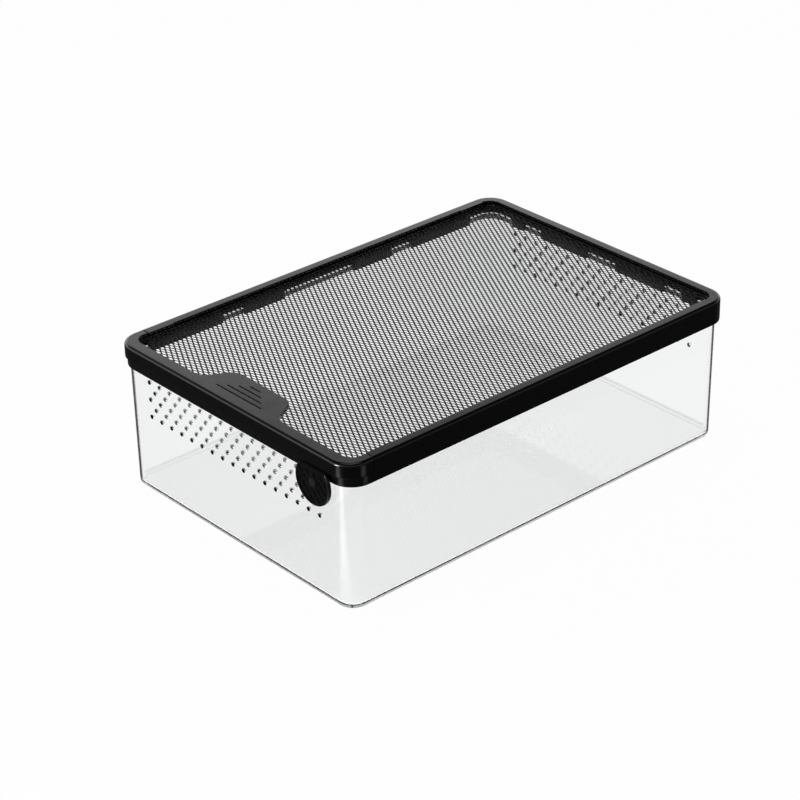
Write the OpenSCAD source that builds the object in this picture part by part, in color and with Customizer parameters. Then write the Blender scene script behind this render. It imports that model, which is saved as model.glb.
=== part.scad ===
// Clear plastic pet keeper: a moulded tub, a black rim clipped over its edge, a mesh lid that
// slides out of the rim, and a round turn lock that blocks the lid.
// The origin is the middle of the resting face, +Z is up, and the lid slides out towards -X.

/* [Overall] */
// Length over the rim
keeper_l = 320; // [220:1:420]
// Width over the rim
keeper_w = 220; // [160:1:300]
// Height from the resting face to the top of the rim
keeper_h = 100; // [80:1:180]
// Corner radius of the rim, seen from above
rim_corner_r = 15; // [13:0.5:24]

/* [Rim] */
// Thickness of the rim's outer wall above the tub's edge
rim_wall = 2.7; // [2:0.1:3.5]
// Thickness of the rim's outer wall beside the tub
skirt_t = 1.2; // [0.8:0.1:2]
// Radius of the rounded edge along the rim's top
rim_edge_r = 2.2; // [1:0.1:2.6]
// Width of the flat band on top of the rails
band_w = 7; // [6:0.1:8]
// Depth of the rail's lip over the lid
lip_t = 2.1; // [1.6:0.1:3]
// Height of the rim's outer wall
skirt_h = 15.7; // [14.5:0.1:22]
// Height of the low ring that stays under the lid's front bar
ring_h = 6; // [4:0.1:6.6]
// How far the low ring is set back from the front bar's face
ring_set_back = 1.6; // [0.4:0.1:1.9]
// Thickness of the flange that rests on the tub's edge
flange_t = 0.8; // [0.6:0.1:1.4]
// Thickness of the shelf that the lid runs on
shelf_t = 2.4; // [1.4:0.1:3]
// Thickness of the castellated skirt inside the tub
inner_skirt_t = 1.5; // [1:0.1:2]
// How much higher the inner skirt ends than the outer wall
inner_skirt_lift = 1.7; // [0:0.1:3]
// Length of the middle window in a long inner skirt
long_mid_window = 59.6; // [30:0.2:80]
// Length of the two outer windows in a long inner skirt
long_side_window = 17.5; // [8:0.5:24]
// Distance of the outer windows from the middle of a long side
long_side_at = 71.6; // [60:0.2:90]
// Length of the middle window in a short inner skirt
short_mid_window = 26.4; // [12:0.2:40]
// Length of the two outer windows in a short inner skirt
short_side_window = 16.8; // [8:0.2:20]
// Distance of the outer windows from the middle of a short side
short_side_at = 64.6; // [40:0.2:70]
// Sideways offset of the windows in the short inner skirts
short_window_shift = -2; // [-4:0.5:4]
// How far the windows at the rear corners reach, from the rim's faces
corner_window = 26; // [16:0.5:32]
// How far the windows at the front corners reach back, from the front face
front_corner_window = 22; // [16:0.5:32]
// Extra width of the lip at the ends of the rails
end_pad_w = 0.7; // [0.4:0.1:1.2]
// Length of the wider lip at the front end of a rail
front_pad_l = 19.2; // [8:0.2:40]
// Length of the wider lip at the rear end of a rail, from the rim's rear face
rear_pad_l = 34.9; // [18:0.1:50]

/* [Lid] */
// How far the front bar's arms reach back along the sides
arm_l = 20.3; // [18:0.1:40]
// Gap of the seam between an arm and its rail
seam_gap = 0.6; // [0.4:0.1:1]
// Width of the flat band on top of the front bar
bar_w = 9.1; // [8:0.1:12]
// Wall of the front bar
bar_wall = 2.2; // [1.6:0.1:2.6]
// Thickness of the front bar's top
bar_top_t = 2; // [1.4:0.1:2.4]
// Width of the bezel round the mesh
bezel_w = 5.1; // [4.6:0.1:8]
// Width of the bezel's thick runner, which slides in the rail
runner_w = 2.3; // [1.6:0.1:2.5]
// Thickness of the bezel's thin leaf over the mesh
leaf_t = 1; // [0.6:0.1:1.4]
// Thickness of the retainer ring under the mesh
retainer_t = 0.5; // [0.4:0.1:1]

/* [Pull tab] */
// How far the pull tab reaches over the mesh
tab_reach = 19.6; // [17:0.2:30]
// Sideways offset of the pull tab
tab_shift = -0.6; // [-2:0.1:2]
// Width of the pull tab at the front bar
tab_base_w = 73.8; // [66:0.2:100]
// Width of the pull tab at its tip
tab_tip_w = 51.8; // [44:0.2:60]
// Thickness of the pull tab
tab_t = 2.8; // [1.8:0.1:3]
// Length of the rounding at the pull tab's corners
tab_round = 5.5; // [2:0.5:8]
// Distance between the grip grooves
grip_pitch = 4.2; // [3.5:0.1:5]
// Distance of the first grip groove from the front face
grip_first = 10; // [9.6:0.1:12]
// Length of the first grip groove
grip_l = 42; // [40:1:50]
// How much shorter each next grip groove is
grip_step = 10.6; // [8:0.2:12]
// Number of grip grooves
grip_count = 4; // [1:1:4]
// Width of a grip groove
grip_w = 0.9; // [0.5:0.1:1.5]
// Depth of a grip groove
grip_depth = 0.8; // [0.3:0.1:1.2]

/* [Mesh] */
// Short way of one diamond, along the lid
cell_l = 3.43; // [3:0.01:8]
// Long way of one diamond, across the lid
cell_w = 6; // [5:0.1:14]
// Width of one strand
strand_w = 0.7; // [0.5:0.05:1.2]
// Thickness of the mesh sheet
mesh_t = 0.8; // [0.6:0.05:1.2]
// Width of the plain edge that the bezel holds
mesh_edge_w = 2.2; // [1.5:0.1:2.5]

/* [Tub] */
// Wall thickness of the tub
tub_wall = 2; // [1.5:0.1:2.5]
// Floor thickness of the tub
tub_floor = 2; // [1.5:0.1:4]
// How much the walls lean in from the edge to the floor
tub_draft = 0.8; // [0:0.1:2]
// Radius of the rounded edge along the tub's bottom
tub_edge_r = 3; // [1:0.1:3.5]

/* [Vents] */
// Diameter of a vent hole
vent_d = 3; // [2:0.1:4]
// Sideways pitch of the vent holes
vent_pitch = 10.05; // [8:0.05:16]
// Height pitch of the vent rows
vent_row_pitch = 6.05; // [5:0.05:9]
// Number of vent rows
vent_rows = 5; // [1:1:6]
// Drop of the top vent row below the rim
vent_drop = 4.1; // [3:0.1:5]
// Width that stays plain at each end of a vent row
vent_margin = 29; // [26:1:50]

/* [Lock] */
// Radius of the lock disc
lock_r = 15; // [14:0.1:20]
// Thickness of the lock disc
lock_t = 2; // [1.8:0.1:4]
// Distance of the lock's axis from the end of the vent rows, outwards
lock_out = 1; // [0:0.05:5]
// Height of the lock's axis above the top vent row
lock_lift = 0.65; // [0:0.05:1.2]
// Diameter of the hole that the lock's pin turns in
lock_hole_d = 3; // [2.6:0.1:3.6]
// Gap between the lock disc and the face of the front bar
lock_gap = 0.4; // [0.3:0.1:1]
// Gap between the disc's flat and the front bar, when open
flat_gap = 0.4; // [0.3:0.1:2]
// Width of the raised edge round the disc's face
lock_edge_w = 1.9; // [1:0.1:3]
// Radius of the rounded edge of the disc
lock_edge_r = 0.8; // [0.3:0.1:1.2]
// Depth of the disc's sunk face
lock_face_depth = 0.6; // [0.3:0.1:1]
// Pitch of the crossed grip ribs on the disc
lock_rib_pitch = 4.4; // [3:0.1:6]
// Width of a grip rib on the disc
lock_rib_w = 0.8; // [0.5:0.1:1.2]
// Radius of the disc's hub
lock_hub_r = 4.2; // [3.8:0.1:5]
// Radius of the neck between the disc and the tub's wall
lock_neck_r = 2.5; // [2.2:0.1:2.7]
// Diameter of the pin's head
pin_head_d = 5.6; // [4.6:0.1:6.6]
// Thickness of the pin's head
pin_head_t = 0.9; // [0.6:0.1:1.2]
// Diameter of the washer inside the wall
washer_d = 7.4; // [6:0.1:9]
// Thickness of the washer
washer_t = 1.2; // [0.8:0.1:2]
// Length of the pin's tail past the washer
pin_tail = 0.6; // [0.4:0.1:1.5]

/* [Clearances] */
// Gap between the tub's edge and the rim's skirts
fit_gap = 0.3; // [0.2:0.05:0.5]
// Gap round the parts that slide
slide_gap = 0.3; // [0.2:0.05:0.4]
// Gap round the lock's pin in its hole
pin_gap = 0.08; // [0.04:0.01:0.1]
// Gap between the pin and the pieces that are pushed onto it
press_gap = 0.02; // [0.01:0.01:0.05]
// Gap between the two layers of strands in the mesh sheet
layer_gap = 0.05; // [0.02:0.01:0.1]

/* [Hidden] */

// Levels, from the rim's top downwards
bezel_t = leaf_t + mesh_t + retainer_t;
lip_z = keeper_h - lip_t;
bezel_top = lip_z - slide_gap;
bezel_z = bezel_top - bezel_t;
mesh_z = bezel_z + retainer_t;
shelf_top = bezel_z - slide_gap;
shelf_z = shelf_top - shelf_t;
skirt_z = keeper_h - skirt_h;
ring_top = skirt_z + ring_h;
bar_z = ring_top + slide_gap;
tub_h = ring_top - flange_t;
inner_skirt_z = skirt_z + inner_skirt_lift;

// Distances inwards from the rim's outer face
tub_inset = rim_wall + fit_gap;
inner_skirt_inset = tub_inset + tub_wall + fit_gap;
shelf_inset = inner_skirt_inset + inner_skirt_t;
bezel_inset = rim_wall + slide_gap;
leaf_inset = bezel_inset + runner_w;
mesh_inset = leaf_inset + fit_gap;
window_inset = bezel_inset + bezel_w;

// Places along the length
arm_end_x = -keeper_l / 2 + arm_l;
rail_x = arm_end_x + seam_gap;
tab_x = -keeper_l / 2 + bar_w;

// Tub
tub_corner_r = rim_corner_r - tub_inset;
tub_floor_inset = tub_draft + tub_wall + tub_edge_r;
function tub_lean(z) = tub_draft * (1 - z / tub_h);
function tub_face_x(z) = keeper_l / 2 - tub_inset - tub_lean(z);

// Vent field
vent_top_z = skirt_z - vent_drop;
vent_columns = floor((keeper_w - 2 * vent_margin) / vent_pitch) + 1;
vent_half_w = (vent_columns - 1) / 2 * vent_pitch;

// Lock
lock_y = -vent_half_w - lock_out;
lock_z = vent_top_z + lock_lift;
lock_back_x = -keeper_l / 2 - lock_gap;
lock_face_x = lock_back_x - lock_t;
lock_flat = bar_z - flat_gap - lock_z;
lock_stand_off = -lock_back_x - tub_face_x(lock_z) - fit_gap;
pin_r = lock_hole_d / 2 - pin_gap;
pin_seat_r = pin_r + press_gap;
washer_x = -tub_face_x(lock_z) + tub_wall + fit_gap;
pin_end_x = washer_x + washer_t + pin_tail;

// Fineness of round shapes
round_fn = 96;
small_fn = 32;
arc_steps = 6;
// Overlap that joins shapes of one solid
join = 0.5;
// Longer than anything that is cut
far = 2 * (keeper_l + keeper_w + keeper_h);

// Points of an arc round [x, y], from angle a to angle b
function arc(x, y, r, a, b) =
    [for (i = [0:arc_steps]) let (t = a + (b - a) * i / arc_steps) [x + r * cos(t), y + r * sin(t)]];

// Points that round the corner p between a and c, starting d away from it
function rounded(a, p, c, d) =
    let (from = p + d * (a - p) / norm(a - p))
    let (to = p + d * (c - p) / norm(c - p))
    [for (i = [0:arc_steps]) let (t = i / arc_steps)
        (1 - t) * (1 - t) * from + 2 * t * (1 - t) * p + t * t * to];

// A cross-section carried round a rectangle with round corners. In the section, x = 0 is the
// outer face, -x is the distance inwards and y is the height.
module carried_round(l, w, r) {
    for (side = [0, 1])
        mirror([0, side, 0])
            translate([-(l / 2 - r), w / 2 - r, 0])
                rotate([90, 0, 90])
                    linear_extrude(l - 2 * r) translate([r, 0]) children();
    for (end = [0, 1])
        mirror([end, 0, 0])
            translate([l / 2 - r, w / 2 - r, 0])
                rotate([90, 0, 0])
                    linear_extrude(w - 2 * r) translate([r, 0]) children();
    for (end = [0, 1], side = [0, 1])
        mirror([end, 0, 0])
            mirror([0, side, 0])
                translate([l / 2 - r, w / 2 - r, 0])
                    rotate_extrude(angle = 90, $fn = round_fn) translate([r, 0]) children();
}

// A flat plate with round corners
module plate(l, w, r, t) {
    linear_extrude(t) {
        square([l - 2 * r, w], center = true);
        square([l, w - 2 * r], center = true);
        for (x = [-1, 1], y = [-1, 1])
            translate([x * (l / 2 - r), y * (w / 2 - r)])
                circle(r, $fn = round_fn);
    }
}

// A flat ring between two distances inwards from the rim's outer face
module flat_ring(outer, inner, t) {
    difference() {
        plate(keeper_l - 2 * outer, keeper_w - 2 * outer, rim_corner_r - outer, t);
        translate([0, 0, -join])
            plate(keeper_l - 2 * inner, keeper_w - 2 * inner, rim_corner_r - inner, t + 2 * join);
    }
}

// Everything in front of a plane across the keeper, above a height
module front_of(x, z) {
    translate([x - far, -far / 2, z]) cube([far, far, far]);
}

// A strip in a section, from one distance inwards to another
module strip(near, deep, z0, z1) {
    translate([-deep, z0]) square([deep - near, z1 - z0]);
}

module tub_section() {
    foot = -tub_draft - tub_edge_r;
    inner_foot = -tub_floor_inset;
    polygon(concat(
        [[-tub_wall, tub_h], [0, tub_h]],
        arc(foot, tub_edge_r, tub_edge_r, 0, -90),
        [[inner_foot - join, 0], [inner_foot - join, tub_floor]],
        arc(inner_foot, tub_floor + tub_edge_r, tub_edge_r, -90, 0)
    ));
}

// A hole through a short wall
module wall_hole(y, z, d) {
    translate([0, y, z])
        rotate([0, 90, 0]) cylinder(h = 4 * tub_wall, d = d, center = true, $fn = small_fn);
}

// Rows of vents, staggered; the top row starts after the given number of holes
module vent_field(skipped) {
    for (row = [0:vent_rows - 1])
        for (column = [(row == 0 ? skipped : 0):vent_columns - 1 - row % 2])
            wall_hole(column * vent_pitch - vent_half_w + row % 2 * vent_pitch / 2,
                vent_top_z - row * vent_row_pitch, vent_d);
}

// Clear moulding with leaning walls, round corners and vents through both short walls. The lock's
// pin has a hole of its own in the front wall, in the place of the end vent.
module tub() {
    color([0.9, 0.93, 0.94, 0.35])
    difference() {
        union() {
            carried_round(keeper_l - 2 * tub_inset, keeper_w - 2 * tub_inset, tub_corner_r)
                tub_section();
            plate(keeper_l - 2 * (tub_inset + tub_floor_inset),
                keeper_w - 2 * (tub_inset + tub_floor_inset),
                tub_corner_r - tub_floor_inset, tub_floor);
        }
        translate([keeper_l / 2 - tub_inset - tub_wall / 2, 0, 0]) vent_field(0);
        translate([-keeper_l / 2 + tub_inset + tub_wall / 2, 0, 0]) {
            vent_field(1);
            wall_hole(lock_y, lock_z, lock_hole_d);
        }
    }
}

// Outer wall with its round top edge, and a lip or top that reaches inwards to a distance
module topped_wall(bottom, wall, top_t, reach) {
    polygon(concat(
        [[-wall, bottom], [0, bottom]],
        arc(-rim_edge_r, keeper_h - rim_edge_r, rim_edge_r, 0, 90),
        [[-reach, keeper_h], [-reach, keeper_h - top_t], [-wall, keeper_h - top_t]]
    ));
}

// Rail: outer wall and lip over the lid, shelf under it, flange on the tub, inner skirt
module rail_section() {
    topped_wall(tub_h, rim_wall, lip_t, band_w);
    strip(0, skirt_t, skirt_z, tub_h + join);
    strip(rim_wall - join, shelf_inset, shelf_z, shelf_top);
    strip(inner_skirt_inset, shelf_inset, inner_skirt_z, shelf_top);
    strip(rim_wall - join, inner_skirt_inset + join, tub_h, ring_top);
}

// Low ring under the front bar
module ring_section() {
    strip(0, rim_wall, skirt_z, ring_top);
    strip(rim_wall - join, inner_skirt_inset + join, tub_h, ring_top);
    strip(inner_skirt_inset, shelf_inset, inner_skirt_z, ring_top);
}

// A box from x0 to x1 and from y0 to y1, between two heights
module block(x0, x1, y0, y1, z0, z1) {
    translate([x0, y0, z0]) cube([x1 - x0, y1 - y0, z1 - z0]);
}

// Windows that leave the inner skirt as a row of tabs. They end at the outer wall's inner face.
module skirt_windows() {
    low = inner_skirt_z - join;
    reach_x = keeper_l / 2 - shelf_inset - join;
    reach_y = keeper_w / 2 - shelf_inset - join;
    intersection() {
        translate([0, 0, low])
            plate(keeper_l - 2 * rim_wall, keeper_w - 2 * rim_wall, rim_corner_r - rim_wall,
                shelf_z - low);
        union() {
            for (side = [0, 1], place = [[0, long_mid_window], [-long_side_at, long_side_window],
                    [long_side_at, long_side_window]])
                mirror([0, side, 0])
                    block(place[0] - place[1] / 2, place[0] + place[1] / 2, reach_y, keeper_w,
                        low, keeper_h);
            for (end = [0, 1], place = [[0, short_mid_window], [-short_side_at, short_side_window],
                    [short_side_at, short_side_window]])
                mirror([end, 0, 0])
                    translate([0, place[0] + short_window_shift, 0])
                        block(reach_x, keeper_l, -place[1] / 2, place[1] / 2, low, keeper_h);
            for (side = [-1, 1])
                translate([0, side * keeper_w + short_window_shift, 0]) {
                    block(keeper_l / 2 - corner_window, keeper_l,
                        -keeper_w / 2 - corner_window, keeper_w / 2 + corner_window,
                        low, keeper_h);
                    block(-keeper_l, -keeper_l / 2 + front_corner_window,
                        -keeper_w / 2 - corner_window, keeper_w / 2 + corner_window,
                        low, keeper_h);
                }
        }
    }
}

// Wider stretches of the lip at both ends of the rails
module end_pads() {
    for (side = [0, 1])
        mirror([0, side, 0]) {
            translate([rail_x, keeper_w / 2 - band_w - end_pad_w, lip_z])
                cube([front_pad_l, end_pad_w + join, lip_t]);
            translate([keeper_l / 2 - rear_pad_l, keeper_w / 2 - band_w - end_pad_w, lip_z])
                cube([rear_pad_l - rim_corner_r, end_pad_w + join, lip_t]);
        }
}

// Black rim: two long rails and a rear bar, and a low ring where the lid's front bar sits
module rim_frame() {
    color([0.08, 0.08, 0.08])
    difference() {
        union() {
            difference() {
                carried_round(keeper_l, keeper_w, rim_corner_r) rail_section();
                front_of(rail_x, -join);
            }
            intersection() {
                carried_round(keeper_l, keeper_w, rim_corner_r) ring_section();
                front_of(rail_x + join, -join);
                plate(keeper_l - 2 * ring_set_back, keeper_w, rim_corner_r, keeper_h);
            }
            end_pads();
        }
        skirt_windows();
    }
}

// The lid's window, seen from above. The front bar's band is wider than the rails'.
module window_plate(t) {
    translate([(bar_w - band_w) / 2, 0, 0])
        plate(keeper_l - bar_w - band_w, keeper_w - 2 * band_w, rim_corner_r - band_w, t);
}

// A plate round the window, from a distance inwards of the rim's face
module round_window(inset, z0, z1) {
    difference() {
        translate([0, 0, z0])
            plate(keeper_l - 2 * inset, keeper_w - 2 * inset, rim_corner_r - inset, z1 - z0);
        translate([0, 0, z0 - join]) window_plate(z1 - z0 + 2 * join);
    }
}

// Bezel: a thick runner outside and a thin leaf that covers the mesh's edge
module bezel_section() {
    strip(bezel_inset, leaf_inset, bezel_z, bezel_top);
    strip(leaf_inset - join, window_inset, bezel_top - leaf_t, bezel_top);
}

module tab_outline() {
    root = [-join, tab_base_w / 2 + tab_round];
    base = [0, tab_base_w / 2];
    tip = [tab_reach, tab_tip_w / 2];
    upper = concat(
        [root],
        rounded([0, root[1]], base, tip, tab_round),
        rounded(base, tip, [tab_reach, 0], tab_round)
    );
    polygon(concat(upper, [for (i = [len(upper) - 1:-1:0]) [upper[i][0], -upper[i][1]]]));
}

module pull_tab() {
    difference() {
        translate([tab_x, tab_shift, keeper_h - tab_t])
            linear_extrude(tab_t) tab_outline();
        for (i = [0:grip_count - 1])
            translate([-keeper_l / 2 + grip_first + i * grip_pitch, tab_shift, keeper_h])
                cube([grip_w, grip_l - i * grip_step, 2 * grip_depth], center = true);
    }
}

// Lid moulding: front bar with both corners, pull tab, and the bezel that runs in the rails
module lid_frame() {
    color([0.1, 0.1, 0.1]) {
        // Front bar: an open channel under a flat top, which stands on the bezel
        intersection() {
            union() {
                carried_round(keeper_l, keeper_w, rim_corner_r)
                    topped_wall(bar_z, bar_wall, bar_top_t, leaf_inset);
                round_window(rim_edge_r, keeper_h - bar_top_t, keeper_h);
                round_window(leaf_inset, bezel_top - join / 2, keeper_h - join);
            }
            front_of(arm_end_x, -join);
        }
        carried_round(keeper_l, keeper_w, rim_corner_r) bezel_section();
        pull_tab();
    }
}

// One layer of parallel strands that lean to the left or to the right
module strands(lean, t) {
    window_l = keeper_l - 2 * (mesh_inset + mesh_edge_w / 2);
    window_w = keeper_w - 2 * (mesh_inset + mesh_edge_w / 2);
    angle = atan2(cell_w, cell_l) * lean;
    reach = window_w * cell_l / cell_w;
    count = ceil((window_l + reach) / cell_l / 2);
    slope = cell_l / cell_w * lean;
    for (i = [-count:count]) {
        x = i * cell_l;
        // The strand crosses the long sides at x + slope * y and is cut off at the short sides
        y_a = (-window_l / 2 - x) / slope;
        y_b = (window_l / 2 - x) / slope;
        low = max(-window_w / 2, min(y_a, y_b));
        high = min(window_w / 2, max(y_a, y_b));
        if (high - low > cell_w)
            translate([x + slope * (low + high) / 2, (low + high) / 2, 0])
                rotate([0, 0, angle])
                    translate([0, 0, t / 2])
                        cube([(high - low) / cos(90 - abs(angle)), strand_w, t], center = true);
    }
}

// Diamond mesh sheet: two crossed layers of strands in a plain edge
module mesh() {
    layer_t = (mesh_t - layer_gap) / 2;
    color([0.05, 0.05, 0.05])
    translate([0, 0, mesh_z]) {
        flat_ring(mesh_inset, mesh_inset + mesh_edge_w, mesh_t);
        strands(1, layer_t);
        translate([0, 0, mesh_t - layer_t]) strands(-1, layer_t);
    }
}

// Thin ring under the mesh that is welded to the bezel
module mesh_retainer() {
    color([0.12, 0.12, 0.12])
    translate([0, 0, bezel_z])
        flat_ring(mesh_inset, window_inset, retainer_t);
}

// The disc lies along +Z here: z = 0 is its back, and its flat is towards +X
module lock_body() {
    face_r = lock_r - lock_edge_w;
    face_flat = lock_flat - lock_edge_w;
    neck_r = min(lock_neck_r, skirt_z - fit_gap - lock_z);
    ribs = floor(face_r / lock_rib_pitch);
    difference() {
        union() {
            rotate_extrude($fn = round_fn)
                polygon(concat([[0, 0], [lock_r, 0]],
                    arc(lock_r - lock_edge_r, lock_t - lock_edge_r, lock_edge_r, 0, 90), [[0, lock_t]]));
            translate([0, 0, -lock_stand_off])
                cylinder(h = lock_stand_off + join, r = neck_r, $fn = small_fn);
        }
        translate([lock_flat, -far / 2, -far / 2]) cube([far, far, far]);
        difference() {
            translate([0, 0, lock_t - lock_face_depth])
                cylinder(h = lock_t, r = face_r, $fn = round_fn);
            translate([face_flat, -far / 2, 0]) cube([far, far, far]);
            cylinder(h = far, r = lock_hub_r, $fn = small_fn);
            for (turn = [-45, 45])
                rotate([0, 0, turn])
                    for (i = [-ribs:ribs])
                        translate([i * lock_rib_pitch - lock_rib_w / 2, -far / 2, 0])
                            cube([lock_rib_w, far, lock_t - lock_face_depth / 4]);
        }
    }
}

// Places a shape made along +Z on the lock's axis, with +Z towards -X and +X towards +Z
module on_lock_axis() {
    translate([lock_back_x, lock_y, lock_z]) rotate([0, -90, 0]) children();
}

// Round turn lock with one flat: flat up lets the lid pass, round side up blocks it
module lock_disc() {
    color([0.06, 0.06, 0.06])
    on_lock_axis()
        difference() {
            lock_body();
            translate([0, 0, -far / 2]) cylinder(h = far, r = pin_seat_r, $fn = small_fn);
            translate([0, 0, lock_t - pin_head_t])
                cylinder(h = lock_t, r = pin_head_d / 2 + press_gap, $fn = small_fn);
        }
}

// Headed pin that turns with the disc in its hole in the tub's front wall
module lock_pin() {
    length = pin_end_x - lock_face_x;
    color([0.16, 0.16, 0.16])
    on_lock_axis() {
        translate([0, 0, lock_t - length])
            cylinder(h = length, r = pin_r, $fn = small_fn);
        translate([0, 0, lock_t - pin_head_t])
            cylinder(h = pin_head_t, r = pin_head_d / 2, $fn = small_fn);
    }
}

// Push-on washer inside the wall
module lock_washer() {
    color([0.2, 0.2, 0.2])
    translate([washer_x, lock_y, lock_z])
        rotate([0, 90, 0])
            difference() {
                cylinder(h = washer_t, d = washer_d, $fn = small_fn);
                translate([0, 0, -join])
                    cylinder(h = washer_t + 2 * join, r = pin_seat_r, $fn = small_fn);
            }
}

tub();
rim_frame();
lid_frame();
mesh();
mesh_retainer();
lock_disc();
lock_pin();
lock_washer();
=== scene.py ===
# %% [markdown]
# This script dresses a pet keeper with a sliding mesh lid. Its solids come from the CAD model in
# metres: the keeper stands on z = 0, its front is towards -x and its long near side towards -y.
# They could be modelled here once more, but then the two models could drift apart, so they are
# loaded first and never moved, and every finish and every finer mesh below fits round them.

# %% Load the frame
import math

import bmesh
import bpy
import numpy as np
from mathutils import Matrix, Vector


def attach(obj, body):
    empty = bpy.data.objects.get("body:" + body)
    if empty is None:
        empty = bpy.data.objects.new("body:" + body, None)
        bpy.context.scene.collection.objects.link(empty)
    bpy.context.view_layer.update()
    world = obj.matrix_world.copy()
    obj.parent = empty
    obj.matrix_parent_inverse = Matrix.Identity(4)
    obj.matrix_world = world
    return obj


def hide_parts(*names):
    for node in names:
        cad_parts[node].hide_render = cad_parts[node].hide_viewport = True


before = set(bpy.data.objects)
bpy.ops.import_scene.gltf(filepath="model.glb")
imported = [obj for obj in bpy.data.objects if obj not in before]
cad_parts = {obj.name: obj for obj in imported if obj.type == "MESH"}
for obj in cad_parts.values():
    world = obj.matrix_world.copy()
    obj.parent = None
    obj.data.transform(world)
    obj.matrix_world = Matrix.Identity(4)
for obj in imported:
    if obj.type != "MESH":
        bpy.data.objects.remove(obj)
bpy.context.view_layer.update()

MM = 0.001
print("CAD nodes:", ", ".join(sorted(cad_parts)))


# %% [markdown]
# Every finish and every light below is a small network of shader nodes, like the one that a maker
# draws in the node editor. Written out in code, each node takes three lines and each link one
# more. A few helpers shorten that, and they take numbers and outputs of other nodes alike, so that
# a network reads like a formula.

# %% Helpers for shader nodes
def set_sockets(node, sockets):
    """Sets a node's input sockets by name, where an underscore stands for a space."""
    for name, value in sockets.items():
        node.inputs[name.replace("_", " ")].default_value = value


def node_of(tree, kind, **sockets):
    """Adds a shader node and sets the sockets that are named."""
    made = tree.nodes.new(kind)
    set_sockets(made, sockets)
    return made


def feed(tree, value, socket):
    """Gives a socket a number, or links it where the value is another node's output."""
    if isinstance(value, (int, float)):
        socket.default_value = value
    else:
        tree.links.new(value, socket)


def ramp(tree, value, edge, low, high, smooth=False):
    """Goes from low to high while the value goes from edge[0] to edge[1], straight or smoothly."""
    made = node_of(tree, "ShaderNodeMapRange", From_Min=edge[0], From_Max=edge[1])
    made.interpolation_type = "SMOOTHSTEP" if smooth else "LINEAR"
    for amount, socket in ((value, "Value"), (low, "To Min"), (high, "To Max")):
        feed(tree, amount, made.inputs[socket])
    return made.outputs["Result"]


print("helpers: node_of, feed and ramp")


# %% [markdown]
# The keeper is glossy black and clear, so it shows the room more than its own colour. The flat
# tops mirror the far side of the room a little above the horizon, the rounded edges mirror the
# part overhead, and the walls mirror the ground. A room that is bright low down and dark overhead
# therefore draws a grey top with a black line along its edge. A single even light would be
# quicker, but every black piece would turn into one flat shape.

# %% Room light
LOW_NEAR, LOW_FAR = 0.9, 3.3          # brightness low down, towards -y and towards +y
LOW_EDGE = (-0.75, 0.5)               # y of the direction where the first ends, the second starts
MIDDLE_LIGHT = 1.0                    # brightness of the band above the low light
ZENITH_LIGHT = 0.06                   # brightness overhead
SEEN_THROUGH_LIGHT = 0.6              # what the clear plastic shows of the room
BAND_EDGE = (24.6, 27.8)              # degrees above the horizon where the low light ends
ZENITH_EDGE = (35.0, 42.0)            # degrees above the horizon where the band ends
BAND_LEAN = Vector((0.062, -0.056, 1.0))    # both edges lie 5 degrees lower towards +x and -y


def sines(edge):
    """Heights on a sphere of directions: the sines of two angles that are given in degrees."""
    return [math.sin(math.radians(angle)) for angle in edge]


def room(name):
    """World light by direction: low light, then middle light, then zenith light, by height."""
    world = bpy.data.worlds.new(name)
    world.use_nodes = True
    tree = world.node_tree
    tree.nodes.clear()
    place = tree.nodes.new("ShaderNodeTexCoord")
    split = tree.nodes.new("ShaderNodeSeparateXYZ")
    leaning = tree.nodes.new("ShaderNodeVectorMath")
    leaning.operation = "DOT_PRODUCT"
    leaning.inputs[1].default_value = BAND_LEAN
    tree.links.new(place.outputs["Generated"], split.inputs["Vector"])
    tree.links.new(place.outputs["Generated"], leaning.inputs[0])
    height = leaning.outputs["Value"]
    low = ramp(tree, split.outputs["Y"], LOW_EDGE, LOW_NEAR, LOW_FAR, smooth=True)
    upper = ramp(tree, height, sines(ZENITH_EDGE), MIDDLE_LIGHT, ZENITH_LIGHT, smooth=True)
    level = ramp(tree, height, sines(BAND_EDGE), low, upper, smooth=True)
    through = tree.nodes.new("ShaderNodeLightPath").outputs["Is Transmission Ray"]
    shown = ramp(tree, through, (0.0, 1.0), level, SEEN_THROUGH_LIGHT)
    light = tree.nodes.new("ShaderNodeBackground")
    tree.links.new(shown, light.inputs["Strength"])
    out = tree.nodes.new("ShaderNodeOutputWorld")
    tree.links.new(light.outputs["Background"], out.inputs["Surface"])
    return world


bpy.context.scene.world = room("pale_room")
print("room light:", LOW_NEAR, "to", LOW_FAR, "low down,", ZENITH_LIGHT, "overhead")


# %% [markdown]
# Square lamps stand in for the softboxes of a product photograph. The upper one keeps a shadow
# under the keeper and the left one lights the front. A third one is only mirrored: it brightens
# the spot on the near corner of the rim, and no matte surface gets any light from it. Point lamps
# would be simpler, but glossy plastic mirrors the lamp itself, so they would draw hard dots.

# %% Soft lamps
LAMP_AIM = Vector((0.0, 0.0, 0.05))   # the middle of the keeper


def way_to(azimuth, elevation):
    """Direction of length one: zero points to -y, azimuth turns it to +x, elevation lifts it."""
    level = math.cos(elevation)
    return Vector((math.sin(azimuth) * level, -math.cos(azimuth) * level, math.sin(elevation)))


def soft_lamp(name, azimuth, elevation, distance, side, watts):
    """A square lamp on a sphere round the aim point, turned to face it. Angles in degrees."""
    data = bpy.data.lights.new(name, "AREA")
    data.shape, data.size, data.energy = "SQUARE", side, watts
    lamp = bpy.data.objects.new(name, data)
    way = way_to(math.radians(azimuth), math.radians(elevation))
    lamp.location = LAMP_AIM + way * distance
    lamp.rotation_euler = way.to_track_quat("Z", "Y").to_euler()
    bpy.context.scene.collection.objects.link(lamp)
    print(name, "gives", watts, "W from", tuple(round(v, 2) for v in lamp.location))
    return lamp


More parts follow.
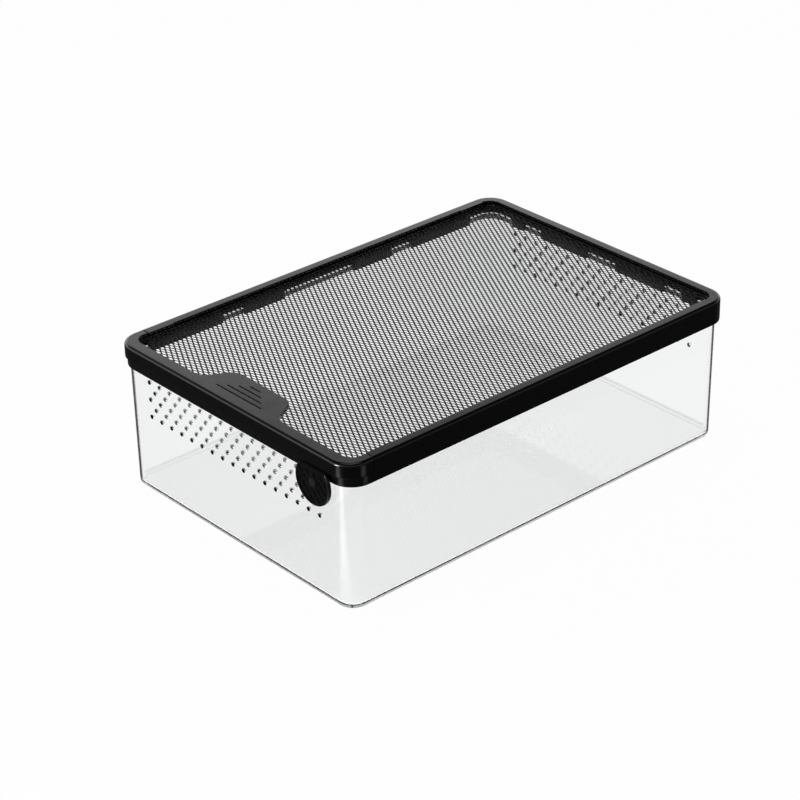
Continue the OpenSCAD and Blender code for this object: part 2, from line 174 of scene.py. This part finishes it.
soft_lamp("top_soft", azimuth=0, elevation=89, distance=1.6, side=1.0, watts=7.0)
soft_lamp("left_soft", azimuth=-92, elevation=5, distance=1.5, side=0.30, watts=18.0)
mirrored = soft_lamp("left_mirrored", azimuth=-92, elevation=5, distance=1.45, side=0.45,
                     watts=24.0)
mirrored.visible_diffuse = False


# %% [markdown]
# The camera stands where the photographer stood. Its angles and its distance come from the corners
# of the rim and the foot of the tub, whose real sizes are known, so the upright edges lean in the
# picture as they do in the photograph. A long lens from further away would be simpler to set up,
# but it would make them nearly parallel.

# %% Camera
VIEW_AZIMUTH, VIEW_ELEVATION, VIEW_ROLL = (math.radians(a) for a in (-41.2078, 28.6478, -1.0363))
VIEW_DISTANCE = 1.609708              # metres, like the target
VIEW_TARGET = Vector((-0.0233366, -0.0003649, 0.05))
FOCAL_PIXELS = 2561.1                 # the focal length, counted in the picture's pixels
IMAGE_PIXELS = 800                    # width of the picture
SENSOR_MM = 36


def photo_camera():
    """Camera on a sphere round the target: back leads from the target to the camera, and its right
    and its up are a level way and the way square to both, turned round back by the roll."""
    back = way_to(VIEW_AZIMUTH, VIEW_ELEVATION)
    level = Vector((math.cos(VIEW_AZIMUTH), math.sin(VIEW_AZIMUTH), 0))
    above = back.cross(level)
    right = level * math.cos(VIEW_ROLL) + above * math.sin(VIEW_ROLL)
    up = above * math.cos(VIEW_ROLL) - level * math.sin(VIEW_ROLL)
    data = bpy.data.cameras.new("photo_camera")
    data.sensor_width = SENSOR_MM
    data.lens = FOCAL_PIXELS / IMAGE_PIXELS * SENSOR_MM
    camera = bpy.data.objects.new("photo_camera", data)
    turn = Matrix((right, up, back)).transposed().to_4x4()
    camera.matrix_world = Matrix.Translation(VIEW_TARGET + back * VIEW_DISTANCE) @ turn
    bpy.context.scene.collection.objects.link(camera)
    print("camera:", round(data.lens, 1), "mm lens,", round(VIEW_DISTANCE, 2), "m away")
    return camera


bpy.context.scene.camera = photo_camera()


# %% [markdown]
# The keeper stands on a pale floor that looks white to the eye and through the clear walls. Black
# gloss would turn grey if it mirrored all that white, so mirrored rays see a floor painted dim,
# with two painted pools of light, which are the two streaks down the near corner. Turning the
# lamps up until the floor is white would be simpler, but it would also bleach every piece that
# stands on it.

# %% Sums and mixtures
def maths(tree, operation, first, second, clamp=False):
    """One sum in one node; each input is a number or an output, clamp keeps it from 0 to 1."""
    made = tree.nodes.new("ShaderNodeMath")
    made.operation, made.use_clamp = operation, clamp
    feed(tree, first, made.inputs[0])
    feed(tree, second, made.inputs[1])
    return made.outputs[0]


def product(tree, *values):
    """All the values multiplied with one another."""
    result = values[0]
    for value in values[1:]:
        result = maths(tree, "MULTIPLY", result, value)
    return result


def mixed(tree, share, first, second):
    """Mix of two shaders; the share is how much of the second one shows."""
    mix = tree.nodes.new("ShaderNodeMixShader")
    for socket, output in zip(mix.inputs, (share, first, second)):
        tree.links.new(output, socket)
    return mix.outputs[0]


print("helpers: maths, product and mixed")

# %% Painted pools of light on the floor
FLOOR_Z = -0.0002                     # just under the keeper, so that the two faces never fight
# brightness of the floor as painted for reflections only
MIRRORED_FLOOR = 0.09
POOL_EDGE = (0.4, 1.6)                # a pool fades out between these shares of its half size
# middle, half length and half width in metres, turn, and brightness
LONG_POOL = ((-0.275, -0.092), (0.10, 0.026), math.radians(-6.5), 3.2)
ROUND_POOL = ((-0.09, -0.265), (0.03, 0.03), 0.0, 1.4)


def pool_light(tree, pool, rest):
    """Painted light of one pool: an ellipse is shrunk to a circle of radius one, and the
    brightness falls smoothly with the distance from its middle, down to the rest."""
    (x, y), (half_l, half_w), turn, strength = pool
    place = tree.nodes.new("ShaderNodeTexCoord")
    local = node_of(tree, "ShaderNodeMapping", Location=(x, y, FLOOR_Z), Rotation=(0, 0, turn),
                    Scale=(half_l, half_w, 1))
    local.vector_type = "TEXTURE"
    away = tree.nodes.new("ShaderNodeVectorMath")
    away.operation = "LENGTH"
    tree.links.new(place.outputs["Object"], local.inputs["Vector"])
    tree.links.new(local.outputs["Vector"], away.inputs[0])
    return ramp(tree, away.outputs["Value"], POOL_EDGE, strength, rest, smooth=True)


print("pools are", LONG_POOL[-1], "and", ROUND_POOL[-1], "on a mirrored floor of", MIRRORED_FLOOR)

# %% Paint of the floor
FLOOR_COLOUR = (0.8, 0.8, 0.8, 1)
WHITE = (1, 1, 1, 1)
FLOOR_OWN_LIGHT = 0.97                # share of even white; the rest is matte and keeps the shadow
CLOSE_MIRROR = (0.002, 0.012)         # a reflection this close under a piece is still white


def floor_paint():
    """Pale floor: a matte part that keeps the shadow, and an even white part that the eye and the
    clear plastic see. Gloss sees a painted reflection instead: the floor painted dimmer, like the
    dark table edge round a photo sweep, with painted pools of light."""
    paint = bpy.data.materials.new("pale_floor")
    paint.use_nodes = True
    tree = paint.node_tree
    tree.nodes.clear()
    seen = tree.nodes.new("ShaderNodeLightPath").outputs
    eye, gloss, through = (seen[f"Is {ray} Ray"] for ray in ("Camera", "Glossy", "Transmission"))
    looked_at = maths(tree, "MAXIMUM", maths(tree, "MAXIMUM", eye, gloss), through)
    only_gloss = maths(tree, "SUBTRACT", gloss, through, clamp=True)
    far_off = ramp(tree, seen["Ray Length"], CLOSE_MIRROR, 0.0, 1.0)
    matte = node_of(tree, "ShaderNodeBsdfDiffuse", Color=FLOOR_COLOUR)
    white = node_of(tree, "ShaderNodeEmission", Color=WHITE, Strength=1.0)
    # painted reflection: what gloss sees of the floor, dim with two painted pools of light
    dim = node_of(tree, "ShaderNodeEmission", Color=WHITE)
    pools = maths(tree, "ADD", pool_light(tree, LONG_POOL, MIRRORED_FLOOR),
                  pool_light(tree, ROUND_POOL, 0.0))
    tree.links.new(pools, dim.inputs["Strength"])
    direct = mixed(tree, product(tree, looked_at, FLOOR_OWN_LIGHT), matte.outputs[0],
                   white.outputs[0])
    whole = mixed(tree, product(tree, only_gloss, far_off), direct, dim.outputs[0])
    out = tree.nodes.new("ShaderNodeOutputMaterial")
    tree.links.new(whole, out.inputs["Surface"])
    print(paint.name, "is", FLOOR_OWN_LIGHT, "even white and the rest matte")
    return paint


FLOOR_LOOK = floor_paint()

# %% Floor
FLOOR_R = 6.0
FLOOR_SIDES = 96


def pale_floor():
    """A flat disc just under z = 0: its corners are radius times cosine and sine of even steps."""
    t = np.linspace(0, 2 * np.pi, FLOOR_SIDES, endpoint=False)
    points = np.stack([FLOOR_R * np.cos(t), FLOOR_R * np.sin(t), 0 * t + FLOOR_Z], axis=1)
    data = bpy.data.meshes.new("floor")
    data.from_pydata(points.tolist(), [], [list(range(len(t)))])
    data.materials.append(FLOOR_LOOK)
    floor = bpy.data.objects.new("floor", data)
    bpy.context.scene.collection.objects.link(floor)
    print("floor has", len(data.vertices), "corners at a radius of", FLOOR_R, "m")
    return floor


pale_floor()


# %% [markdown]
# The black mouldings are one plastic in three finishes: the rim, the lid with its pull tab, and
# the lock. Moulded plastic is never evenly glossy, because the tool is polished by hand and the
# part shrinks away from it, so slow noise varies the roughness and a very fine grain moves the
# normals. A single roughness value would look like paint.

# %% Black plastic
NOISE_DETAIL = 2.0
NOISE_SPAN = (0.3, 0.7)               # nearly all of the noise lies between these values
PATCH_SCALE, GRAIN_SCALE = 60, 2600   # noise cells per metre, of the polish and of the grain
GRAIN_STRENGTH, GRAIN_DEPTH = 0.12, 0.00006
BLUE_CAST = 1.04                      # black plastic is a trace bluer than grey


def principled(name, **sockets):
    """A material with one Principled shader; returns the material, its tree and the shader."""
    paint = bpy.data.materials.new(name)
    paint.use_nodes = True
    tree = paint.node_tree
    shader = tree.nodes["Principled BSDF"]
    set_sockets(shader, sockets)
    return paint, tree, shader


def noise_of(tree, scale, low, high):
    """Noise on Object coordinates, stretched to the range from low to high."""
    place = tree.nodes.new("ShaderNodeTexCoord")
    noise = node_of(tree, "ShaderNodeTexNoise", Scale=scale, Detail=NOISE_DETAIL)
    tree.links.new(place.outputs["Object"], noise.inputs["Vector"])
    return ramp(tree, noise.outputs["Fac"], NOISE_SPAN, low, high)


def black_plastic(name, tone, rough, shine):
    """Moulded black plastic: patchy roughness from slow noise, and a fine spark-eroded grain."""
    paint, tree, shader = principled(name, Base_Color=(tone, tone, tone * BLUE_CAST, 1),
                                     Specular_IOR_Level=shine)
    feed(tree, noise_of(tree, PATCH_SCALE, *rough), shader.inputs["Roughness"])
    bump = node_of(tree, "ShaderNodeBump", Strength=GRAIN_STRENGTH, Distance=GRAIN_DEPTH)
    feed(tree, noise_of(tree, GRAIN_SCALE, 0.0, 1.0), bump.inputs["Height"])
    tree.links.new(bump.outputs["Normal"], shader.inputs["Normal"])
    print(name, "has tone", tone, "and roughness from", rough[0], "to", rough[1])
    return paint


# %% Finishes of the pieces
def dress(node, paint):
    """Puts one material in every slot of a CAD node's object."""
    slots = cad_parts[node].material_slots
    for slot in slots:
        slot.material = paint
    print(node, "wears", paint.name, "in", len(slots), "slot")


RIM_LOOK = black_plastic("rim_plastic_look", tone=0.0022, rough=(0.12, 0.17), shine=0.15)
LID_LOOK = black_plastic("lid_plastic_look", tone=0.0012, rough=(0.13, 0.18), shine=0.21)
LOCK_LOOK = black_plastic("lock_plastic_look", tone=0.002, rough=(0.15, 0.25), shine=0.2)
PIN_LOOK = black_plastic("pin_plastic_look", tone=0.006, rough=(0.2, 0.3), shine=0.3)
MESH_LOOK = black_plastic("mesh_look", tone=0.006, rough=(0.5, 0.6), shine=0.06)


# %% [markdown]
# The tub is clear plastic two millimetres thick. Refraction alone does most of the work: it draws
# the vents, the floor line and the bright upright corner. Three places are finished apart from it:
# the cut top edge and the rounding at the foot scatter the light that runs inside the walls, as
# they do on the real tub, and the upright corners get painted shade, darker where one looks along
# the wall. They are found by their coordinates, because a painted mask would need an image.

# %% Far from the middle
def from_middle(tree, value, start):
    """How far a coordinate lies past the start, on either side of the middle."""
    return maths(tree, "SUBTRACT", maths(tree, "ABSOLUTE", value, 0.0), start)


def beyond(tree, value, limit):
    """1 where a coordinate lies further from the middle than the limit, on either side."""
    return maths(tree, "GREATER_THAN", maths(tree, "ABSOLUTE", value, 0.0), limit)


print("helpers: from_middle and beyond")

# %% Haze at the foot
FOOT_LINE, FOOT_HAZE = 0.12, 0.75     # haze of the bottom rounding, at its dark line and above it
FOOT_LINE_Z, FOOT_TOP_Z = (0.0010, 0.0014), (0.0029, 0.0033)
FOOT_BAND = (0.1532, 0.1032)          # the rounding lies outside this half length and half width


def foot_haze(tree, x, y, z):
    """Haze of the bottom rounding: little at its dark line, much above it, none on the flats."""
    outside = maths(tree, "MAXIMUM", beyond(tree, x, FOOT_BAND[0]), beyond(tree, y, FOOT_BAND[1]))
    return product(tree, outside, ramp(tree, z, FOOT_LINE_Z, FOOT_LINE, FOOT_HAZE),
                   ramp(tree, z, FOOT_TOP_Z, 1.0, 0.0))


print("the haze ends", round(FOOT_TOP_Z[1] / MM, 1), "mm above the floor")

# %% Painted shade of the upright corners
CORNER_MIDDLE = (0.145, 0.095)        # middle of each upright rounding, from the tub's middle
CORNER_OUTER_R = 0.0106               # between the inside and the outside of that rounding
CORNER_FACING = (0.56, 0.64)          # how far along the wall one looks where it darkens


def corner_shade(tree, x, y):
    """How far painted shade darkens the plastic: only on the outside of the upright corners, which
    is further from the middle of the rounding than the inside, and only when seen along the wall."""
    facing = node_of(tree, "ShaderNodeLayerWeight", Blend=0.5).outputs["Facing"]
    from_inside = tree.nodes.new("ShaderNodeNewGeometry").outputs["Backfacing"]
    along = maths(tree, "SUBTRACT", ramp(tree, facing, CORNER_FACING, 0.0, 1.0), from_inside)
    to_end = from_middle(tree, x, CORNER_MIDDLE[0])
    to_side = from_middle(tree, y, CORNER_MIDDLE[1])
    squared = maths(tree, "ADD", product(tree, to_end, to_end), product(tree, to_side, to_side))
    return product(tree, maths(tree, "MAXIMUM", along, 0.0),
                   maths(tree, "GREATER_THAN", to_end, 0.0),
                   maths(tree, "GREATER_THAN", to_side, 0.0),
                   maths(tree, "GREATER_THAN", squared, CORNER_OUTER_R ** 2))


print("corners darken outside a radius of", round(CORNER_OUTER_R / MM, 1), "mm")

# %% Light through the vents
VENTS_ABOVE_Z, VENTS_WITHIN_Y = 0.03, 0.09
SHORT_WALL_X = FOOT_BAND[0]           # the short walls lie outside the same half length
BORE_SIDEWAYS = 0.5                   # a vent's bore faces along the wall, not through it
FRONT_BORE, REAR_BORE = 0.25, 0.65    # share of the light that passes a vent's bore unbent


def bore_share(tree, x, y, z):
    """Share of the light that goes straight through the bore of a vent in the two short walls."""
    surface = tree.nodes.new("ShaderNodeNewGeometry")
    turned = tree.nodes.new("ShaderNodeSeparateXYZ")
    tree.links.new(surface.outputs["Normal"], turned.inputs["Vector"])
    return product(tree, maths(tree, "GREATER_THAN", z, VENTS_ABOVE_Z),
                   maths(tree, "SUBTRACT", 1.0, beyond(tree, y, VENTS_WITHIN_Y)),
                   beyond(tree, x, SHORT_WALL_X),
                   maths(tree, "SUBTRACT", 1.0, beyond(tree, turned.outputs["X"], BORE_SIDEWAYS)),
                   ramp(tree, x, (-SHORT_WALL_X, SHORT_WALL_X), FRONT_BORE, REAR_BORE))


print("bores pass", FRONT_BORE, "at the front and", REAR_BORE, "at the rear")

# %% [markdown]
# The clear plastic puts these places together. Only rays that the eye follows are bent. Lamps and
# bounced light go straight through, because bent light would need far more samples for the same
# picture. Plain glass from one shader would be shorter, but it shows none of the three places.

# %% Clear plastic
PLASTIC_IOR = 1.49
# the plastic's own clear tint, and the near-black colour of the painted shade on the corners
CLEAR_TINT, CORNER_PAINTED_SHADE = (0.985, 0.99, 0.99, 1), (0.01, 0.01, 0.01, 1)
POLISH_SCALE, POLISH = 25, (0.0, 0.02)    # slow noise in the roughness
STRAIGHT_TONE, FROSTED_TONE = (0.97, 0.97, 0.97, 1), (0.9, 0.9, 0.9, 1)
EDGE_FROM_Z = 0.0893                  # the cut top edge of the tub


def tint_and_painted_shade(tree, share):
    """Mix of the clear tint and the painted corner shade; the share is how much shade shows."""
    mix = tree.nodes.new("ShaderNodeMix")
    mix.data_type = "RGBA"
    sockets = {socket.identifier: socket for socket in (*mix.inputs, *mix.outputs)}
    sockets["A_Color"].default_value, sockets["B_Color"].default_value = CLEAR_TINT, CORNER_PAINTED_SHADE
    tree.links.new(share, sockets["Factor_Float"])
    return sockets["Result_Color"]


def clear_plastic():
    """Clear moulded plastic. Lamps and bounced light pass straight through, the eye sees it bend.
    The top edge and the bottom rounding scatter the light that runs inside the walls."""
    paint, tree, shader = principled("clear_plastic_look", IOR=PLASTIC_IOR,
                                     Transmission_Weight=1.0)
    place = tree.nodes.new("ShaderNodeTexCoord")
    split = tree.nodes.new("ShaderNodeSeparateXYZ")
    tree.links.new(place.outputs["Object"], split.inputs["Vector"])
    x, y, z = (split.outputs[axis] for axis in "XYZ")
    feed(tree, noise_of(tree, POLISH_SCALE, *POLISH), shader.inputs["Roughness"])
    # painted shade: the base colour turns near-black on the outside of the upright corners
    feed(tree, tint_and_painted_shade(tree, corner_shade(tree, x, y)), shader.inputs["Base Color"])
    straight = node_of(tree, "ShaderNodeBsdfTransparent", Color=STRAIGHT_TONE)
    frosted = node_of(tree, "ShaderNodeBsdfTranslucent", Color=FROSTED_TONE)
    seen = tree.nodes.new("ShaderNodeLightPath").outputs
    unseen = maths(tree, "MAXIMUM", seen["Is Shadow Ray"], seen["Is Diffuse Ray"])
    passed = maths(tree, "MAXIMUM", unseen, bore_share(tree, x, y, z))
    cut_edge = maths(tree, "GREATER_THAN", z, EDGE_FROM_Z)
    hazy = maths(tree, "MAXIMUM", cut_edge, foot_haze(tree, x, y, z))
    clear = mixed(tree, passed, shader.outputs[0], straight.outputs[0])
    whole = mixed(tree, hazy, clear, frosted.outputs[0])
    tree.links.new(whole, tree.nodes["Material Output"].inputs["Surface"])
    print(paint.name, "has", len(tree.nodes), "nodes")
    return paint


CLEAR_LOOK = clear_plastic()


# %% [markdown]
# The lid's sheet is expanded metal: staggered slits are cut into a thin sheet and the sheet is
# pulled apart. Each slit opens into a diamond, and the metal between two slits stays as a joint
# from which four strands leave. The pulling turns all joints and strands the same way, like slats,
# so from the front one family of strands shows its broad side and the other one only its edge. Two
# crossed sets of straight bars would be simpler, but they look the same from every side.

# %% Joints of the expanded metal
LATTICE_RIGHT = np.array([1.7801, -3.001])      # from one joint to the next, in mm
LATTICE_BACK = np.array([1.6511, 3.001])
OPENING_AT = np.array([-0.333, -0.728])         # the middle of one opening
LATTICE_STEPS = 70                              # enough to cover the sheet from its middle
SHEET_HALF = np.array([160.0, 110.0])           # half length and half width of the whole rim
RIM_CORNER_R = 15.0
LAST_JOINT_INSET = 7.0                          # from the rim's outline to the last joints
SMALLEST_R = 0.1


def inside_round(points, inset):
    """True where a point lies inside the rim's rounded outline, moved inwards by the inset: its
    distance from the rectangle between the middles of the roundings is at most their radius."""
    r = max(RIM_CORNER_R - inset, SMALLEST_R)
    over = np.maximum(np.abs(points) - (SHEET_HALF - inset - r), 0)
    return np.hypot(over[..., 0], over[..., 1]) <= r


def joint_numbers():
    """Places of the joints, the first one plus m steps right plus n steps back, and a table with
    the number of the joint for each m and n, or -1 where the sheet has none."""
    steps = np.arange(-LATTICE_STEPS, LATTICE_STEPS + 1)
    m, n = np.meshgrid(steps, steps, indexing="ij")
    first = OPENING_AT + (LATTICE_RIGHT + LATTICE_BACK) / 2
    places = first + m[..., None] * LATTICE_RIGHT + n[..., None] * LATTICE_BACK
    kept = inside_round(places, LAST_JOINT_INSET)
    number = np.full(kept.shape, -1)
    number[kept] = np.arange(kept.sum())
    return number, places[kept]


JOINT_NUMBER, JOINT_PLACES = joint_numbers()

# %% Points of the joints
SHEET_MIDDLE_Z = 96.2
SLAT_TURN = math.radians(10)
STRAND_W, STRAND_T = 0.95, 0.25
JOINT_HALF_L = 0.3
ENDS, ACROSS, SIDES = 2, 3, 2         # front and back, left to right, bottom and top


def joint_points(places):
    """Twelve points per joint: its place, plus or minus half its length, then a strand's width to
    the left, nothing, or as much to the right along the turned slat, and then minus or plus half
    the thickness, square to the slat."""
    slat = np.array([math.cos(SLAT_TURN), 0, -math.sin(SLAT_TURN)]) * STRAND_W
    up = np.array([math.sin(SLAT_TURN), 0, math.cos(SLAT_TURN)]) * STRAND_T / 2
    middle = np.column_stack([places, np.full(len(places), SHEET_MIDDLE_Z)])
    local = np.array([[0, end * JOINT_HALF_L, 0] + across * slat + side * up
                      for end in (-1, 1) for across in (-1, 0, 1) for side in (-1, 1)])
    return (middle[:, None, :] + local[None]).reshape(-1, 3)


def at(joint, end, across, side):
    """Number of one of the twelve points of a joint, in the order in which they were made."""
    return ((joint * ENDS + end) * ACROSS + across) * SIDES + side


NET_POINTS = joint_points(JOINT_PLACES)
print("the net has", len(NET_POINTS), "points")

# %% Faces of the net
AROUND = ((0, 0), (1, 0), (1, 1), (0, 1))       # across and side, once round the end of a strand


def joint_faces(j):
    """Top, bottom and outer sides of joints: two squares above, two below, one at each side."""
    faces = []
    for a in (0, 1):
        faces.append([at(j, 0, a, 1), at(j, 0, a + 1, 1), at(j, 1, a + 1, 1), at(j, 1, a, 1)])
        faces.append([at(j, 1, a, 0), at(j, 1, a + 1, 0), at(j, 0, a + 1, 0), at(j, 0, a, 0)])
    faces.append([at(j, 0, 0, 1), at(j, 1, 0, 1), at(j, 1, 0, 0), at(j, 0, 0, 0)])
    faces.append([at(j, 0, 2, 0), at(j, 1, 2, 0), at(j, 1, 2, 1), at(j, 0, 2, 1)])
    return [np.stack(face, axis=1) for face in faces]


def strand_faces(a, b, half_a, half_b):
    """Four sides of the strands that leave the back end of joints a and reach the front of b: each
    side joins one edge of the one end with the same edge of the other."""
    leaving = [at(a, 1, half_a + u, v) for u, v in AROUND]
    reached = [at(b, 0, half_b + u, v) for u, v in AROUND]
    return [np.stack([leaving[k], leaving[k - 1], reached[k - 1], reached[k]], axis=1)
            for k in (1, 2, 3, 0)]


def end_caps(joints, end, half):
    """Closes the half of an end where no strand leaves, with one square that faces outwards."""
    ring = AROUND[:1] + AROUND[:0:-1] if end else AROUND
    return np.stack([at(joints, end, half + u, v) for u, v in ring], axis=1)


def net_faces(number):
    """Faces of all joints and strands. Each joint looks up its four neighbours in the table, has
    a strand to the two behind it, and is closed where a neighbour is missing."""
    wide = np.pad(number, 1, constant_values=-1)
    there = number >= 0
    back_right, back_left = wide[1:-1, 2:][there], wide[:-2, 1:-1][there]
    front_left, front_right = wide[1:-1, :-2][there], wide[2:, 1:-1][there]
    j = np.arange(there.sum())
    faces = joint_faces(j)
    faces += strand_faces(j[back_right >= 0], back_right[back_right >= 0], 1, 0)
    faces += strand_faces(j[back_left >= 0], back_left[back_left >= 0], 0, 1)
    for other, end, half in ((back_right, 1, 1), (back_left, 1, 0), (front_left, 0, 0),
                             (front_right, 0, 1)):
        faces.append(end_caps(j[other < 0], end, half))
    return np.concatenate(faces)


NET_FACES = net_faces(JOINT_NUMBER)
print("the net has", len(NET_FACES), "faces")

# %% Edge of the sheet
EDGE_OUTER, EDGE_INNER = 5.6, 7.8     # from the rim's outline to both sides of the edge, in mm
EDGE_T = 0.8
CORNER_STEPS = 8


def round_outline(inset):
    """Points of the rim's rounded outline, moved inwards by the inset, anticlockwise: the middle
    of each corner plus the radius times the cosine and the sine of even steps."""
    r = RIM_CORNER_R - inset
    points = []
    for start, sx, sy in ((0, 1, 1), (90, -1, 1), (180, -1, -1), (270, 1, -1)):
        t = np.radians(np.linspace(start, start + 90, CORNER_STEPS + 1))
        x, y = (SHEET_HALF - inset - r) * (sx, sy)
        points.append(np.column_stack([x + r * np.cos(t), y + r * np.sin(t)]))
    return np.concatenate(points)


def sheet_edge():
    """The plain edge of the sheet: a flat ring, its section a rectangle that is carried round
    between two outlines."""
    outer, inner = round_outline(EDGE_OUTER), round_outline(EDGE_INNER)
    n = len(outer)
    low, high = SHEET_MIDDLE_Z - EDGE_T / 2, SHEET_MIDDLE_Z + EDGE_T / 2
    rings = [(outer, low), (outer, high), (inner, high), (inner, low)]
    points = np.concatenate([np.column_stack([p, np.full(n, z)]) for p, z in rings])
    i = np.arange(n)
    k = (i + 1) % n
    faces = [np.stack([a * n + i, a * n + k, b * n + k, b * n + i], axis=1)
             for a, b in ((0, 1), (1, 2), (2, 3), (3, 0))]
    return points, np.concatenate(faces)


EDGE_POINTS, EDGE_FACES = sheet_edge()
print("the edge has", len(EDGE_POINTS), "points and", len(EDGE_FACES), "faces")

# %% The sheet as a piece
def made_piece(name, parts, paint):
    """One object at the origin from several parts, each with points in mm and faces of four."""
    offset = np.cumsum([0] + [len(p) for p, f in parts])
    points = np.concatenate([p for p, f in parts]) * MM
    faces = np.concatenate([f + o for (p, f), o in zip(parts, offset)])
    data = bpy.data.meshes.new(name)
    data.from_pydata(points.tolist(), [], faces.tolist())
    data.update()
    data.materials.append(paint)
    piece = bpy.data.objects.new(name, data)
    bpy.context.scene.collection.objects.link(piece)
    print(name, "has", len(points), "points and", len(faces), "faces")
    return piece


sheet = made_piece("mesh_sheet", [(NET_POINTS, NET_FACES), (EDGE_POINTS, EDGE_FACES)], MESH_LOOK)
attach(sheet, "lid")
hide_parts("mesh")


# %% [markdown]
# The rim with its rails and the lid's frame are two black mouldings. Moulded edges are never quite
# sharp: the tool leaves a small rounding, and it catches the light as a thin line. The solids are
# sharp there, so each gets a merged copy with a narrow bevel. The normals are weighted by area
# afterwards, so that the large flats stay flat and only the bevel bends the light. Rounding only
# the shading would be quicker, but it would leave the outline of each edge sharp.

# %% Softened edges
MERGE_DISTANCE = 0.000002
FLAT_ANGLE = math.radians(0.5)        # faces that turn less than this become one
EDGE_ANGLE = math.radians(40)         # edges that turn more than this are bevelled
EDGE_WIDTH, EDGE_SEGMENTS = 0.00025, 2
FLATS_WEIGHT = 100                    # the largest that the modifier takes


def softened(name, node, paint):
    """A merged copy of a CAD node: flat areas become one face each, sharp edges get a bevel."""
    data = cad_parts[node].data.copy()
    data.name = name
    work = bmesh.new()
    work.from_mesh(data)
    bmesh.ops.remove_doubles(work, verts=work.verts, dist=MERGE_DISTANCE)
    bmesh.ops.dissolve_limit(work, angle_limit=FLAT_ANGLE, verts=work.verts, edges=work.edges)
    for face in work.faces:
        face.smooth = True
    work.to_mesh(data)
    work.free()
    data.materials.clear()
    data.materials.append(paint)
    piece = bpy.data.objects.new(name, data)
    bpy.context.scene.collection.objects.link(piece)
    bevel = piece.modifiers.new("edge_line", "BEVEL")
    bevel.width, bevel.segments = EDGE_WIDTH, EDGE_SEGMENTS
    bevel.limit_method, bevel.angle_limit = "ANGLE", EDGE_ANGLE
    bevel.use_clamp_overlap = False
    flats = piece.modifiers.new("flat_faces_stay_flat", "WEIGHTED_NORMAL")
    flats.mode, flats.weight = "FACE_AREA", FLATS_WEIGHT
    print(name, "has", len(data.polygons), "faces before its edges are softened")
    return piece


rim = softened("rim_moulding", "rim_frame", RIM_LOOK)
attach(rim, "base")
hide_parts("rim_frame")
lid = softened("lid_moulding", "lid_frame", LID_LOOK)
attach(lid, "lid")
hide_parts("lid_frame")


# %% [markdown]
# The tub, the ring that holds the sheet, and the lock with its pin and its washer already have the
# right shape. They could be copied and softened as well, but their edges are either rounded in the
# solid or hardly seen, so they keep their own meshes and only get a finish.

# %% Dress the CAD pieces
dress("tub", CLEAR_LOOK)
dress("mesh_retainer", LID_LOOK)
dress("lock_disc", LOCK_LOOK)
dress("lock_pin", PIN_LOOK)
dress("lock_washer", PIN_LOOK)


# %% [markdown]
# The colours are shown as they are written. A film look would be kinder to bright spots, but it
# would also change every colour above.

# %% Finish
bpy.context.scene.view_settings.view_transform = "Standard"
